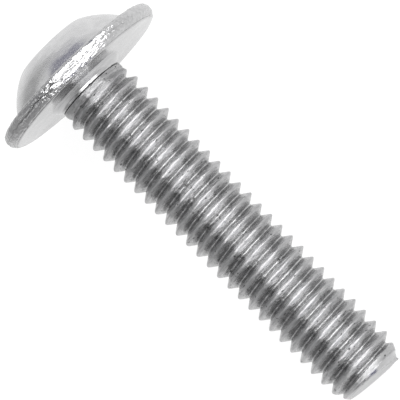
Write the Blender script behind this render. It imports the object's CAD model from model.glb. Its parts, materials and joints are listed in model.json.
import json

import bpy
import numpy as np
from mathutils import Matrix


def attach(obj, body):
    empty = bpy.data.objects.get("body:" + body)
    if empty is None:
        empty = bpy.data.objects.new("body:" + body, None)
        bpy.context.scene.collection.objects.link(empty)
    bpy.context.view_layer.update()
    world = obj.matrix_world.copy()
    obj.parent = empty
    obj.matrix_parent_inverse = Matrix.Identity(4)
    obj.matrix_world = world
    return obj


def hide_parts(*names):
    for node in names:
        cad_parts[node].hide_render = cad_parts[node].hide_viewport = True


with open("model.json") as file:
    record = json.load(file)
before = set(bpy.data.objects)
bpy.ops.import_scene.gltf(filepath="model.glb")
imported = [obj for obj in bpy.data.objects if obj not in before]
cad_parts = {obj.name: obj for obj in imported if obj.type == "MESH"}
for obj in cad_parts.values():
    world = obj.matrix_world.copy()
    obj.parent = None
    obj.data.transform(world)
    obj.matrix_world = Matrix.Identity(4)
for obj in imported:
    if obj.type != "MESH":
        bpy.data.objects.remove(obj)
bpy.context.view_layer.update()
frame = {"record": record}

# ---- The screw ---------------------------------------------------------------------------------
# One piece of stainless steel wire: the head and its collar are cold forged, with the hexagon
# punched in the same blows, the thread is rolled on, and the point is what the shears left. It lies
# loose, on its collar and on one crest near the point.

# Lengths are in millimetres along and about the screw's own axis, with the bearing face under the
# collar at z = 0, the head below it and the point above. Angles start straight down, towards +Y.

# rolled thread
PITCH, CREST_R, ROOT_R = 0.70, 1.96, 1.56
CREST_AT = 0.11                       # height of a crest on the +Y side
CREST_SOFT, ROOT_SOFT = 0.060, 0.034  # how far the rounding of crest and root reaches
ROOT_FLAT = 0.010                     # half the flat between two flanks at the root
UNEVEN = 0.010                        # the crests come out uneven by this, above and below

# neck, and the thread's run-out towards it
NECK_R, NECK_END = 1.78, 0.66
CORE_R = ROOT_R - 0.1                 # the core hides under the roots once it has run out
RUNOUT_FALL, RUNOUT = 0.28, 0.52      # the core falls this far over this length
FADE_AT, FADE = 0.79, np.radians(20)  # the ridge leaves the neck here, up this cone
FADE_BLEND, CORE_BLEND = 0.03, 0.04

# point: three cones, each given by its radius at the end and its slope, and the sheared end face
SHANK_END = 19.50
POINT_R, POINT = 1.50, np.radians(30)
LEAD_R, LEAD = 1.58, np.radians(20)   # the gentler cone before the point's own
BEVEL_R, BEVEL = 1.44, np.radians(40)  # the last of the point, next to the sheared face
POINT_BLEND, LEAD_BLEND, BEVEL_BLEND = 0.08, 0.06, 0.03
END_SLANT, END_TOWARDS, END_RIM = np.radians(4.5), np.radians(235), POINT_R + 0.03
BURR_AT, BURR_WIDE, BURR_LONG = 1.78, 0.09, 0.07  # angle about the axis, half width, length
BURR_OUT, BURR_UP = 0.13, 0.07        # how far the shears drew the steel outwards and onwards

# head
HEAD_TOP, COLLAR_TOP, PARTING = -2.38, -0.83, -0.42
DOME_R, LAND_R, LAND_FALL = 3.60, 1.92, 0.010
LAND_ROUND, MOUTH_ROUND, DOME_STEPS = 0.50, 0.03, 21
KEY, SOCKET_FLOOR = 3.00, -1.03
MOUTH_R, MOUTH = 1.80, np.radians(60)
MARK_R, MARK = 0.33, np.radians(59)   # the punch's centre mark in the socket's floor
SCORE = 0.425                         # the scored line at the top of the neck's flare
RING_AT = 0.50                        # where the forged surface hands over to the rolled one
# corners from the dome's foot to the neck: radius, height and rounding of each, then the number of
# points round the corner and on the straight run up to it
CORNERS = [
    (DOME_R, COLLAR_TOP, 0.10, 7, 0),
    (4.598, COLLAR_TOP, 0.28, 10, 7),
    (4.718, -0.355, 0.40, 12, 0),     # the widest of the collar, just above the parting line
    (4.45, 0.0, 0.28, 9, 5),
    (2.16, 0.0, 0.10, 6, 14),         # foot of the flare under the collar
    (1.835, 0.28, 0.06, 4, 5),
    (1.80, 0.40, 0.03, 4, 7),
]
LAST_RUN = 5                          # points from the last corner to the ring

# what the dies left on the head: how deep each mark is pressed in, and half its width in height
EDGE_FROM, EDGE_FULL = 4.25, 4.45     # radii between which the collar's marks grow in
GROOVE_DEEP, GROOVE_WIDE = 0.070, 0.050
SCORE_DEEP, SCORE_WIDE = 0.060, 0.026
LIP_DEEP, LIP_WIDE, LIPS = 0.035, 0.022, (-0.03, -0.79)
SKIN_DEEP, WANDER = 0.026, 0.16       # the crumpled skin, and how far the parting line wanders
GROOVE_ENDS = 0.35                    # the angle at which the parting line's groove dies out
GROOVE_FILM, LIP_FILM, SCORE_FILM = 0.85, 0.7, 1.4  # how much soap and scale each mark holds

# grid
COLUMNS = 96                          # round the shank; the head has three times as many
# rows on either side of a crest, closer together where the form bends
FROM_CREST = [0.016, 0.038, 0.068, 0.11, 0.17, 0.23, 0.28, 0.31, 0.333]
TURNS = np.arange(-1, 31)             # turns of rows, enough for the shank and its end face
NECK_FILM, POINT_FILM = (0.9, 1.4), (0.35, 0.65)  # the groove's film grows in from either end
END_FACE = 1.6                        # pitches' worth of rows that run in over the end face


def ramp(value, start, stop):
    """0 before the start, 1 past the stop, and straight in between."""
    return np.clip((value - start) / (stop - start), 0, 1)


def bell(value, middle, width):
    """A bell of height 1: e to the minus square of the distance from the middle over the width."""
    return np.exp(-(((value - middle) / width) ** 2))


def smaller(a, b, blend):
    """The smaller of two surfaces, with the corner between them filled: where they differ by less
    than the blend, a quarter of the blend times the square of the missing share is taken off."""
    share = np.maximum(blend - np.abs(a - b), 0) / blend
    return np.minimum(a, b) - share**2 * blend / 4


def larger(a, b, blend):
    """The larger of two surfaces, rounded in the same way as the smaller."""
    return -smaller(-a, -b, blend)


def ripple(turns, seed, waves):
    """Uneven hand of the dies: a sum of sines along the helix, each with its own random number of
    waves a turn and its own start, scaled to lie between about -1 and 1."""
    hand = np.random.default_rng(seed)
    often = hand.uniform(*waves, 9)[:, None]
    start = hand.uniform(0, 2 * np.pi, 9)[:, None]
    total = np.sin(2 * np.pi * often * np.ravel(turns)[None] + start).sum(0) / 3
    return total.reshape(np.shape(turns))


def fall(off):
    """Share of the thread's depth that is lost at a distance from the crest. The slope grows from
    the crest and dies in the root as a hyperbolic tangent of the distance from each, and the share
    is the running sum of the slope over its whole sum."""
    at = np.linspace(0, PITCH / 2, 400)
    to_root = np.clip(PITCH / 2 - ROOT_FLAT - at, 0, None)
    slope = np.tanh(at / CREST_SOFT) * np.tanh(to_root / ROOT_SOFT)
    share = np.concatenate([[0], np.cumsum((slope[1:] + slope[:-1]) / 2)])
    return np.interp(off, at, share / share[-1])


def shank_radius(turns, off_crest, z):
    """Radius of the shank. The ridge falls from its crest to its root with the distance from the
    crest's middle line, and is held under the cone by which it leaves the neck. The core fills what
    is below it: it falls from the neck on a straight slope. Both are held under the point, which is
    the smallest of its three cones."""
    crest = CREST_R - UNEVEN * (1 + ripple(turns, 3, (1.3, 14.0)))
    ridge = crest - (crest - ROOT_R) * fall(np.abs(off_crest))
    faded = smaller(ridge, NECK_R + (z - FADE_AT) * np.tan(FADE), FADE_BLEND)
    run_out = np.clip(z - NECK_END, 0, None) * RUNOUT_FALL / RUNOUT
    thread = larger(faded, np.maximum(CORE_R, NECK_R - run_out), CORE_BLEND)
    thread = np.where(z < NECK_END, NECK_R, thread)
    rest = SHANK_END - z
    point = smaller(POINT_R + rest * np.tan(POINT), LEAD_R + rest * np.tan(LEAD), LEAD_BLEND)
    point = smaller(point, BEVEL_R + rest * np.tan(BEVEL), BEVEL_BLEND)
    return smaller(thread, point, POINT_BLEND)


def shank_grid():
    """The rolled part as a grid of columns round the axis and rows that climb with the helix. A
    row keeps its distance from the crest, so its height is the crest's height plus that distance;
    a whole turn on, it meets the row one pitch higher. Rows below the ring are held at the ring,
    and rows beyond the sheared end run in over the end face to its middle. The burr is a bell round
    the axis times a bell along it. Gives the angle, radius, height, length along the surface in
    pitches, and depth in the groove from 0 on a crest to 1 in a root."""
    half = np.array(FROM_CREST)
    steps = np.concatenate([[-PITCH / 2], -half[::-1], [0.0], half])
    off = np.tile(steps, len(TURNS))[None]
    column = np.arange(COLUMNS + 1)[:, None] / COLUMNS
    angle = 2 * np.pi * column
    turns = np.repeat(TURNS, len(steps))[None] + column
    z = CREST_AT - PITCH / 4 + PITCH * turns + off
    slant = np.cos(angle - END_TOWARDS) * np.tan(END_SLANT)
    end = SHANK_END - slant * END_RIM
    past = ramp(z, end, end + END_FACE * PITCH)
    z = np.clip(z, RING_AT, end)
    burr = bell(angle, BURR_AT, BURR_WIDE) * bell(z, end, BURR_LONG)
    r = (shank_radius(turns, off, z) + BURR_OUT * burr) * (1 - past)
    z = np.where(past > 0, SHANK_END - slant * r, z) + BURR_UP * burr * (1 - past)
    threaded = ramp(z, *NECK_FILM) * ramp(SHANK_END - z, *POINT_FILM)
    groove = np.abs(off) / (PITCH / 2) * threaded
    return angle + 0 * r, r, z, z / PITCH + END_FACE * past, groove


def rounded(start, corners, stop, last_run):
    """A line from start to stop with each corner between rounded: the arc touches both runs at the
    rounding over the tangent of half the corner's angle, and is drawn in equal angles. Each
    straight run is divided by its own number of points. The start itself is left out."""
    ways = [np.array(start)] + [np.array(corner[:2]) for corner in corners] + [np.array(stop)]
    line, last = [], ways[0]

    def straight(to, count):
        """Points after the last one, up to the one before the next arc."""
        return last + (to - last) * np.arange(1, count + 1)[:, None] / (count + 1)

    for before, at, after, (_, _, rounding, points, run) in zip(ways, ways[1:], ways[2:], corners):
        back, on = before - at, after - at
        back, on = back / np.hypot(*back), on / np.hypot(*on)
        half = np.arccos(np.clip(back @ on, -1, 1)) / 2
        middle = at + (back + on) / np.hypot(*(back + on)) * rounding / np.sin(half)
        first, final = at + back * rounding / np.tan(half), at + on * rounding / np.tan(half)
        line.append(straight(first, run))
        share, turn = np.linspace(0, 1, points)[:, None], np.pi - 2 * half
        towards_first = (first - middle) * np.sin((1 - share) * turn) / np.sin(turn)
        towards_final = (final - middle) * np.sin(share * turn) / np.sin(turn)
        line.append(middle + towards_first + towards_final)
        last = final
    return np.concatenate([*line, straight(ways[-1], last_run), ways[-1][None]])


def turned_outline():
    """Radius and height of all that is round on the head, from the lip of the socket's mouth over
    the land, the dome and the collar to the ring. The dome is an arc with its centre on the axis,
    at the height from which the land's edge and the dome's foot are equally far."""
    land, foot = np.array([LAND_R, HEAD_TOP + LAND_FALL]), np.array([DOME_R, COLLAR_TOP])
    centre = np.array([0.0, (foot @ foot - land @ land) / 2 / (foot - land)[1]])
    start, stop = (np.arctan2(*(edge - centre)[::-1]) for edge in (land, foot))
    sweep = np.linspace(start, stop, DOME_STEPS)[:, None]
    dome = centre + np.hypot(*(land - centre)) * np.hstack([np.cos(sweep), np.sin(sweep)])
    # two steps in from either end, the dome gives way to the rounding of its edge
    lip = [(MOUTH_R, HEAD_TOP, MOUTH_ROUND, 4, 0), (*land, LAND_ROUND, 6, 0)]
    top = rounded((MOUTH_R - 0.05, HEAD_TOP + 0.03), lip, dome[2], 0)
    edge = rounded(dome[-3], CORNERS, (NECK_R, RING_AT), LAST_RUN)
    return np.concatenate([top, dome[3:-2], edge])


def crumple(angle, run, seed, count, round_waves, run_waves):
    """Pressed, crumpled skin of the collar's edge: a sum of plane waves over the angle and the run
    along the outline, whole numbers of them round the edge, scaled to lie between 0 and 1."""
    hand = np.random.default_rng(seed)
    total = 0 * (angle + run)
    for _ in range(count):
        k, m = hand.integers(*round_waves), hand.uniform(*run_waves) * hand.choice([-1, 1])
        total = total + np.sin(k * angle + m * run + hand.uniform(0, 2 * np.pi))
    return np.clip(0.5 + total / 2 / np.sqrt(2 * count), 0, 1)


def tool_marks(angle, outline):
    """What the dies left on the turned outline: how deep each point is pressed in, and how dark its
    film of soap and scale is. The collar's edge has a crumpled skin, a wandering groove where the
    dies part (deepest on the side that lies upwards, none underneath), and a step along either lip;
    the scored line runs round the neck. Each line is a bell of the height."""
    r, z = outline.T[:, None]
    run = np.cumsum(np.hypot(*np.diff(outline, axis=0, prepend=outline[:1]).T))[None]
    on_edge = ramp(r, EDGE_FROM, EDGE_FULL)
    wander = WANDER * (crumple(angle, 0, 5, 12, (5, 60), (0, 1)) - 0.5)
    one_side = (0.5 - 0.5 * np.cos(angle - GROOVE_ENDS)) ** 2
    groove = bell(z, PARTING + wander, GROOVE_WIDE) * on_edge * one_side
    skin = crumple(angle, run, 8, 40, (10, 110), (2, 40)) * on_edge
    lips = (bell(z, LIPS[0], LIP_WIDE) + bell(z, LIPS[1], LIP_WIDE)) * on_edge
    broken = crumple(angle, 0, 21, 6, (1, 9), (0, 1)) ** 0.2
    score = bell(z, SCORE + 0.1 * wander, SCORE_WIDE) * broken
    pressed = GROOVE_DEEP * groove + SKIN_DEEP * skin + SCORE_DEEP * score + LIP_DEEP * lips
    pressed[:, -1] = 0  # the last row is shared with the rolled part
    film = np.maximum(GROOVE_FILM * groove, LIP_FILM * lips)
    return pressed, np.maximum(film, SCORE_FILM * score)


def head_grid():
    """The forged part as a grid of columns round the axis and rows from the mark in the socket's
    floor, up the hexagon, over the dome and the collar to the neck. The hexagon's radius is half
    its width over the cosine of the angle from the nearest flat's middle, and the bevel of its
    mouth falls with the radius; every other row is a circle of the turned outline, pressed in along
    its normal by the tool marks. Gives the same five arrays as the shank's grid."""
    columns = np.arange(3 * COLUMNS + 1)
    angle = 2 * np.pi * columns[:, None] / (3 * COLUMNS)
    hexagon = KEY / 2 / np.cos(np.mod(angle, np.pi / 3) - np.pi / 6)
    mark = np.array([[0.0, 0.3, 0.7, 1.0]]) * MARK_R
    inwards = np.linspace(0, 1, 7)[None, 1:]
    up = np.linspace(0, 1, 9)[None, 1:]
    brim = np.linspace(0, 1, 5)[None, 1:-1]
    brim_z = HEAD_TOP + (MOUTH_R - hexagon) / np.tan(MOUTH)
    outline = turned_outline()
    way = np.gradient(outline, axis=0)
    normal = np.stack([way[:, 1], -way[:, 0]]) / np.hypot(*way.T)
    pressed, film = tool_marks(angle, outline)
    r = np.hstack([
        mark + 0 * angle,
        MARK_R + (hexagon - MARK_R) * inwards,
        hexagon + 0 * up,
        hexagon + (MOUTH_R - hexagon) * brim,
        outline[None, :, 0] - pressed * normal[0],
    ])
    z = np.hstack([
        SOCKET_FLOOR + (MARK_R - mark) / np.tan(MARK) + 0 * angle,
        SOCKET_FLOOR + 0 * angle + 0 * inwards,
        SOCKET_FLOOR + (brim_z - SOCKET_FLOOR) * up,
        brim_z + (HEAD_TOP - brim_z) * brim,
        outline[None, :, 1] - pressed * normal[1],
    ])
    angle = angle + 0 * r
    # the ring stands on the shank's columns, so three of the head's columns meet in each
    angle[:, -1] = columns // 3 * 2 * np.pi / COLUMNS
    step = np.hypot(np.diff(r, axis=1, prepend=0), np.diff(z, axis=1, prepend=z[:, :1]))
    dark = np.zeros_like(r)
    dark[:, -len(outline):] = film
    return angle, r, z, np.cumsum(step, axis=1) / PITCH, dark


SOCKET, DOME, CRUMPLED, PRESSED, ROLLED, SHEARED = range(6)
CRUMPLED_R, TIP = 4.40, 0.26          # where the crumpled edge starts, and the dies' last touch


def finish_of(r, z, rolled):
    """Which finish a face has, from its middle's radius and height."""
    inside = (r < MOUTH_R + 0.01) & (z < -0.5)
    collar = z > COLLAR_TOP - 0.02
    kind = np.where(inside, SOCKET, DOME)
    kind = np.where(collar & (r > DOME_R), PRESSED, kind)
    kind = np.where(collar & (r > CRUMPLED_R), CRUMPLED, kind)
    kind = np.where((z > -0.02) & (r < CRUMPLED_R), PRESSED, kind)
    kind = np.where(z > SCORE + 0.03, ROLLED, kind)
    kind = np.where(rolled & (z > SHANK_END - TIP), PRESSED, kind)
    return np.where(rolled & (r < POINT_R) & (z > SHANK_END - 0.3), SHEARED, kind)


def cells(grid):
    """The four corners of each cell of a grid, in the order in which the face goes round."""
    return np.stack([grid[:-1, :-1], grid[1:, :-1], grid[1:, 1:], grid[:-1, 1:]], 2)


points, depths, faces, maps, kinds, count = [], [], [], [], [], 0
for rolled, (angle, r, z, length, depth) in enumerate([head_grid(), shank_grid()]):
    points.append(np.stack([r * np.cos(angle), r * np.sin(angle), z], -1).reshape(-1, 3))
    depths.append(depth.ravel())
    faces.append(cells(count + np.arange(r.size).reshape(r.shape)).reshape(-1, 4))
    around = np.linspace(0, 1, len(r))[:, None] + 0 * r
    maps.append(cells(np.stack([length, around], -1)).reshape(-1, 4, 2))
    middle_r, middle_z = ((grid[:-1, :-1] + grid[1:, 1:]) / 2 for grid in (r, z))
    kinds.append(finish_of(middle_r, middle_z, rolled == 1).ravel())
    count += r.size
points, depths, faces, maps, kinds = map(np.concatenate, (points, depths, faces, maps, kinds))

# the screw's own axis lies where the part's key socket has it
mounts = {m["name"]: m for m in frame["record"]["mounts"]}
head_top = np.array(mounts["key_socket"]["pos_m"])
along = -np.array(mounts["key_socket"]["axis"])
along /= np.linalg.norm(along)
across_y = np.array([0.0, 1.0, 0.0])
across_x = np.cross(across_y, along)
placed = head_top + 0.001 * (
    points[:, :1] * across_x + points[:, 1:2] * across_y + (points[:, 2:] - HEAD_TOP) * along
)

# points in one place are merged, to a tenth of a thousandth of a millimetre
keys = np.round(placed * 1e7).astype(np.int64)
_, first, merged = np.unique(keys, axis=0, return_index=True, return_inverse=True)
faces = merged.ravel()[faces]
# a face with two corners in one place becomes a triangle, and one with less is dropped
same = faces == np.roll(faces, -1, axis=1)
three, four = same.sum(1) == 1, same.sum(1) == 0
keep = np.array([[1, 2, 3], [0, 2, 3], [0, 1, 3], [0, 1, 2]])[np.argmax(same, axis=1)[three]]
thirds = np.take_along_axis(faces[three], keep, 1)
third_maps = np.take_along_axis(maps[three], keep[:, :, None], 1)

mesh = bpy.data.meshes.new("screw_skin")
mesh.from_pydata(placed[first], [], faces[four].tolist() + thirds.tolist())
layer = mesh.uv_layers.new(name="along_the_screw")
layer.data.foreach_set("uv", np.concatenate([maps[four].ravel(), third_maps.ravel()]))
groove = mesh.attributes.new("down_the_groove", "FLOAT", "POINT")
groove.data.foreach_set("value", depths[first].astype(np.float32))
kinds = np.concatenate([kinds[four], kinds[three]]).astype(np.int32)
mesh.polygons.foreach_set("material_index", kinds)
mesh.polygons.foreach_set("use_smooth", np.ones(len(kinds), bool))
mesh.set_sharp_from_angle(angle=np.radians(40))
mesh.validate()
mesh.update()


def add(tree, kind, inputs, **settings):
    """Adds a shader node. The settings go on the node itself; each input is given a constant, or
    the output of another node."""
    node = tree.nodes.new("ShaderNode" + kind)
    for name, value in settings.items():
        setattr(node, name, value)
    for name, value in inputs.items():
        if isinstance(value, bpy.types.NodeSocket):
            tree.links.new(value, node.inputs[name])
        else:
            node.inputs[name].default_value = value
    return node


def ranged(tree, value, start, stop, to_start, to_stop, kind="LINEAR"):
    """The value's share of the way from start to stop, laid on another range and held inside it."""
    inputs = {"Value": value, "From Min": start, "From Max": stop}
    inputs |= {"To Min": to_start, "To Max": to_stop}
    return add(tree, "MapRange", inputs, interpolation_type=kind).outputs["Result"]


def mixed(tree, share, a, b, kind="MIX"):
    """Two colours mixed by a share of the second, or multiplied."""
    inputs = {"Factor": share, "A": a, "B": b}
    return add(tree, "Mix", inputs, data_type="RGBA", blend_type=kind).outputs["Result"]


def graded(tree, value, stops):
    """A grey that runs straight from stop to stop; each stop is a place from 0 to 1 and a level."""
    node = add(tree, "ValToRGB", {"Fac": value})
    held = node.color_ramp.elements
    for count, (place, level) in enumerate(stops):
        stop = held[count] if count < 2 else held.new(place)
        stop.position, stop.color = place, (level, level, level, 1)
    return node.outputs["Color"]


TINTED, MATTED = (0.35, 0.65), (0.3, 0.7)  # spans of noise that tint and roughness follow
CLOUD_SIZE, PIT_SIZE = (0.8, 0.25), (0.20, 0.12)
PITTED, PIT = (0.70, 0.73), (0.10, 0.10, 0.10, 1)  # the span of noise that makes a pit; its tint
RUBBED = (0.15, 0.60, 0.10, 0.0)      # between these depths the crests' roughness falls by this


def steel(name, tones, roughness, streak, streak_depth, grain, grain_depth, spread=0.0, cloud=0.0,
          detail=4, film=(), pits=0.0):
    """Bare stainless steel. Streaks are noise stretched round the axis and grain is even noise:
    streaks tint the steel between its two tones, grain sets its roughness, and both press its bump.
    Clouds are broad, shallow dents. A film of soap and scale multiplies the tint, graded by the
    depth in the groove. Pits are the rare peaks of one more noise, dark and pressed in; with them
    come crests rubbed rougher. Spread draws highlights out across the turning marks. Sizes are in
    millimetres round and along the axis, depths in thousandths of a millimetre."""
    material = bpy.data.materials.new(name)
    material.use_nodes = True
    tree = material.node_tree
    shader = tree.nodes["Principled BSDF"]
    shader.inputs["Metallic"].default_value = 1.0
    shader.inputs["Anisotropic"].default_value = spread
    place = add(tree, "TexCoord", {}).outputs["Object"]
    depth = add(tree, "Attribute", {}, attribute_name="down_the_groove").outputs["Fac"]

    def noise(size, detail, rough):
        """Noise laid out along the screw's own axis."""
        turned = add(tree, "Mapping", {
            "Vector": place,
            "Location": head_top,
            "Rotation": (0, np.arctan2(along[0], along[2]), 0),
            "Scale": [0.001 * size[0], 0.001 * size[0], 0.001 * size[1]],
        }, vector_type="TEXTURE").outputs["Vector"]
        inputs = {"Vector": turned, "Scale": 1.0, "Detail": detail, "Roughness": rough}
        return add(tree, "TexNoise", inputs).outputs["Fac"]

    def pressed(height, deep, **under):
        """A bump of the height, on top of the bump under it."""
        inputs = {"Height": height, "Distance": deep * 1e-6, **under}
        return add(tree, "Bump", inputs).outputs["Normal"]

    streaks = noise(streak, detail, 0.6)
    specks = noise(grain, 3, 0.6)
    normal = pressed(specks, grain_depth, Normal=pressed(streaks, streak_depth))
    tint = mixed(tree, ranged(tree, streaks, *TINTED, 0, 1), (*tones[0], 1), (*tones[1], 1))
    matt = ranged(tree, specks, *MATTED, *roughness)
    if cloud:
        normal = pressed(noise(CLOUD_SIZE, 2, 0.5), cloud, Normal=normal)
    if film:
        tint = mixed(tree, 1.0, tint, graded(tree, depth, film), kind="MULTIPLY")
    if pits:
        holes = ranged(tree, noise(PIT_SIZE, 1, 0.4), *PITTED, 0, 1)
        normal = pressed(ranged(tree, holes, 0, 1, 1, 0), pits, Normal=normal)
        tint = mixed(tree, holes, tint, PIT)
        rubbed = ranged(tree, depth, *RUBBED)
        matt = add(tree, "Math", {0: matt, 1: rubbed}, operation="ADD").outputs[0]
    if spread:
        grooves = add(tree, "Tangent", {}, direction_type="UV_MAP", uv_map="along_the_screw")
        tree.links.new(grooves.outputs["Tangent"], shader.inputs["Tangent"])
    tree.links.new(tint, shader.inputs["Base Color"])
    tree.links.new(matt, shader.inputs["Roughness"])
    tree.links.new(normal, shader.inputs["Normal"])
    return material


GREY, BRIGHT = (0.44, 0.44, 0.445), (0.58, 0.58, 0.585)
DULL, CLEAN, PALE = (0.50, 0.50, 0.505), (0.60, 0.60, 0.605), (0.68, 0.68, 0.685)
# films: depth in the groove, and the share of light that comes back through the film there
EDGE_FILM = [(0, 1.0), (0.30, 1.0), (0.80, 0.50), (1.0, 0.10)]
THREAD_FILM = [(0, 0.90), (0.20, 0.92), (0.45, 1.0), (0.70, 0.70), (0.90, 0.70), (0.97, 1.0)]
# one for each kind of finish above, in their order
for finish in [
    steel("punched_socket", (GREY, BRIGHT), roughness=(0.25, 0.40),
          streak=(0.5, 0.06), streak_depth=2, grain=(0.08, 0.08), grain_depth=2),
    steel("forged_dome", (CLEAN, PALE), roughness=(0.20, 0.32),
          streak=(0.6, 0.3), streak_depth=3, grain=(0.05, 0.05), grain_depth=1.5, cloud=14),
    steel("crumpled_edge", (DULL, CLEAN), roughness=(0.07, 0.18),
          streak=(0.22, 0.16), streak_depth=42, grain=(0.06, 0.06), grain_depth=5,
          detail=2, film=EDGE_FILM),
    steel("pressed_collar", (DULL, CLEAN), roughness=(0.12, 0.24),
          streak=(0.9, 0.06), streak_depth=9, grain=(0.08, 0.08), grain_depth=1.5,
          spread=0.4, film=EDGE_FILM),
    steel("rolled_thread", (GREY, BRIGHT), roughness=(0.15, 0.32),
          streak=(0.60, 0.08), streak_depth=48, grain=(0.20, 0.030), grain_depth=14,
          spread=0.3, cloud=80, film=THREAD_FILM, pits=24),
    steel("sheared_end", (DULL, CLEAN), roughness=(0.30, 0.45),
          streak=(0.12, 0.12), streak_depth=8, grain=(0.05, 0.05), grain_depth=3),
]:
    mesh.materials.append(finish)
screw = bpy.data.objects.new("screw_body", mesh)
bpy.context.scene.collection.objects.link(screw)
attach(screw, "root")
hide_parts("screw")

# ---- Floor -------------------------------------------------------------------------------------
# A plain white sweep of paper, 3 m wide. It lights the underside of the screw, and shows as white
# with a soft shadow. The steel sees it fall off into the dark beyond the screw's -Y side.
REACH = 1.5
PAPER, PAPER_SHOWN = 0.12, 0.92       # its own tone, and the light it is shown with to the camera
DARK_FROM, DARK_TO = -0.012, -0.004   # metres across the screw between which it falls off
DARK_FLOOR, LIT_FLOOR = 0.25, 0.80    # how bright the steel sees it on either side of that
floor_mesh = bpy.data.meshes.new("white_floor")
floor_mesh.from_pydata(
    [(-REACH, -REACH, 0), (REACH, -REACH, 0), (REACH, REACH, 0), (-REACH, REACH, 0)],
    [], [(0, 1, 2, 3)],
)
white = bpy.data.materials.new("white_paper")
white.use_nodes = True
tree = white.node_tree
paper = tree.nodes["Principled BSDF"]
paper.inputs["Base Color"].default_value = (PAPER, PAPER, PAPER, 1)
paper.inputs["Roughness"].default_value = 0.9
paper.inputs["Specular IOR Level"].default_value = 0.0
paper.inputs["Emission Color"].default_value = (1, 1, 1, 1)
ray = add(tree, "LightPath", {})
spot = add(tree, "TexCoord", {}).outputs["Object"]
across = add(tree, "SeparateXYZ", {"Vector": spot}).outputs["Y"]
lit = ranged(tree, across, DARK_FROM, DARK_TO, DARK_FLOOR, LIT_FLOOR)
mirrored = add(tree, "Math", {0: ray.outputs["Is Glossy Ray"], 1: lit}, operation="MULTIPLY")
shown = {0: ray.outputs["Is Camera Ray"], 1: PAPER_SHOWN, 2: mirrored.outputs[0]}
lift = add(tree, "Math", shown, operation="MULTIPLY_ADD")
tree.links.new(lift.outputs[0], paper.inputs["Emission Strength"])
floor_mesh.materials.append(white)
floor = bpy.data.objects.new("white_floor", floor_mesh)
bpy.context.scene.collection.objects.link(floor)

# ---- Light -------------------------------------------------------------------------------------
# Three softboxes above: one over the middle of the screw, one towards its head and one towards its
# point. They hang in a grey room with a dark strip low on the -Y side and a few darker doorways,
# which the steel mirrors as its dark bands and bluish patches.

# walls round the screw's axis: degrees from straight up, + towards +Y, and how bright they are
ROOM = [
    (-180, 0.60), (-92, 0.90), (-66, 0.90), (-58, 0.52), (-52, 0.20), (-42, 0.20),
    (-32, 0.62), (-22, 0.85), (30, 0.85), (60, 0.92), (76, 0.85), (180, 0.80),
]
# degrees of lean towards the point, share to the +Y side, half width in degrees, and colour
DOORWAYS = [
    (-80, -0.14, 12, (0.14, 0.14, 0.22)),
    (-77, 0.08, 12, (0.14, 0.14, 0.22)),
    (-81, 0.30, 12, (0.14, 0.14, 0.22)),
    (76, 0.10, 15, (0.05, 0.05, 0.16)),
    (70, -1.20, 24, (0.36, 0.36, 0.37)),
    (-70, -1.20, 24, (0.36, 0.36, 0.37)),
]
# degrees of lean towards the point and to the +Y side, length and width in metres, and level
SOFTBOXES = [
    ("softbox_over_the_middle", 0.0, -12.0, 0.06, 0.03, 0.60),
    ("softbox_towards_the_head", -37.0, 17.0, 0.10, 0.22, 3.80),
    ("softbox_towards_the_point", 43.0, 6.0, 0.10, 0.18, 2.80),
]
SOFTBOX_AWAY = 0.150
up = np.array([np.sqrt(1 - along[0] ** 2), 0, along[0]])
world = bpy.data.worlds.new("grey_room")
world.use_nodes = True
bpy.context.scene.world = world
tree = world.node_tree
way = add(tree, "TexCoord", {}).outputs["Generated"]


def seen_along(vector):
    """How far the ray's way runs along a vector: their dot product."""
    inputs = {0: way, 1: vector}
    return add(tree, "VectorMath", inputs, operation="DOT_PRODUCT").outputs["Value"]


def unit(vector):
    """The vector at length 1."""
    return vector / np.linalg.norm(vector)


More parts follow.
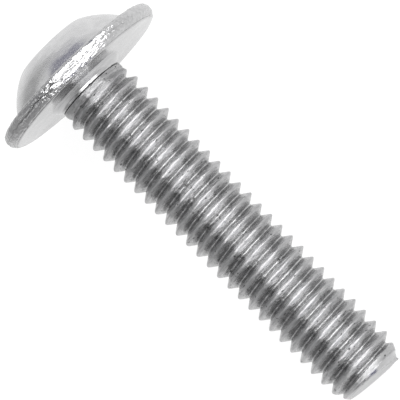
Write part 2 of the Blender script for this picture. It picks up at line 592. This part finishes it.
bearing = add(tree, "Math", {0: seen_along(across_y), 1: seen_along(up)}, operation="ARCTAN2")
walls = [((degrees + 180) / 360, level) for degrees, level in ROOM]
room = graded(tree, ranged(tree, bearing.outputs[0], -np.pi, np.pi, 0, 1), walls)
for lean, side, wide, colour in DOORWAYS:
    lean, wide = np.radians(lean), np.radians(wide)
    doorway = seen_along(unit(np.cos(lean) * up + np.sin(lean) * along + side * across_y))
    door = ranged(tree, doorway, np.cos(wide), np.cos(wide / 2), 0, 1, kind="SMOOTHSTEP")
    room = mixed(tree, door, room, (*colour, 1))
to_camera = add(tree, "LightPath", {}).outputs["Is Camera Ray"]
room = mixed(tree, to_camera, room, (1, 1, 1, 1))
tree.links.new(room, tree.nodes["Background"].inputs["Color"])

AIM_AT = 7.76                         # millimetres past the collar, on the axis
aim = head_top + 0.001 * (AIM_AT - HEAD_TOP) * along


def point_along(thing, place, target, upright):
    """Places a lamp or camera so that its -Z runs to the target and its +Y leans to upright."""
    back = unit(place - target)
    side = unit(np.cross(upright, back))
    matrix = np.eye(4)
    matrix[:3] = np.stack([side, np.cross(back, side), back, place], 1)
    thing.matrix_world = Matrix(matrix.tolist())


for name, lean, side, length, width, level in SOFTBOXES:
    lean, side = np.radians(lean), np.radians(side)
    stand = np.cos(lean) * (np.cos(side) * up + np.sin(side) * across_y) + np.sin(lean) * along
    lamp = bpy.data.lights.new(name, "AREA")
    lamp.shape = "RECTANGLE"
    lamp.size, lamp.size_y = length, width
    lamp.energy = level * np.pi * length * width
    softbox = bpy.data.objects.new(name, lamp)
    bpy.context.scene.collection.objects.link(softbox)
    point_along(softbox, aim + SOFTBOX_AWAY * stand, aim, across_y)
    softbox.visible_camera = False

# ---- Camera ------------------------------------------------------------------------------------
# Looks down on the screw through a long lens, from 222 mm, with the head at the upper left and the
# point at the lower right.
CAMERA_AWAY, CAMERA_TURN = 0.222, np.radians(45.8)
CAMERA_TILT = np.radians(5.0)         # how far it leans from upright towards the point
camera_data = bpy.data.cameras.new("camera")
camera_data.lens, camera_data.sensor_width = 424.6, 36.0
camera_data.clip_start, camera_data.clip_end = 0.01, 10.0
camera = bpy.data.objects.new("camera", camera_data)
bpy.context.scene.collection.objects.link(camera)
from_above = unit(np.cos(CAMERA_TILT) * up + np.sin(CAMERA_TILT) * along)
view_up = -np.sin(CAMERA_TURN) * along + np.cos(CAMERA_TURN) * across_y
point_along(camera, aim + CAMERA_AWAY * from_above, aim, view_up)
bpy.context.scene.camera = camera

bpy.context.scene.view_settings.view_transform = "Standard"
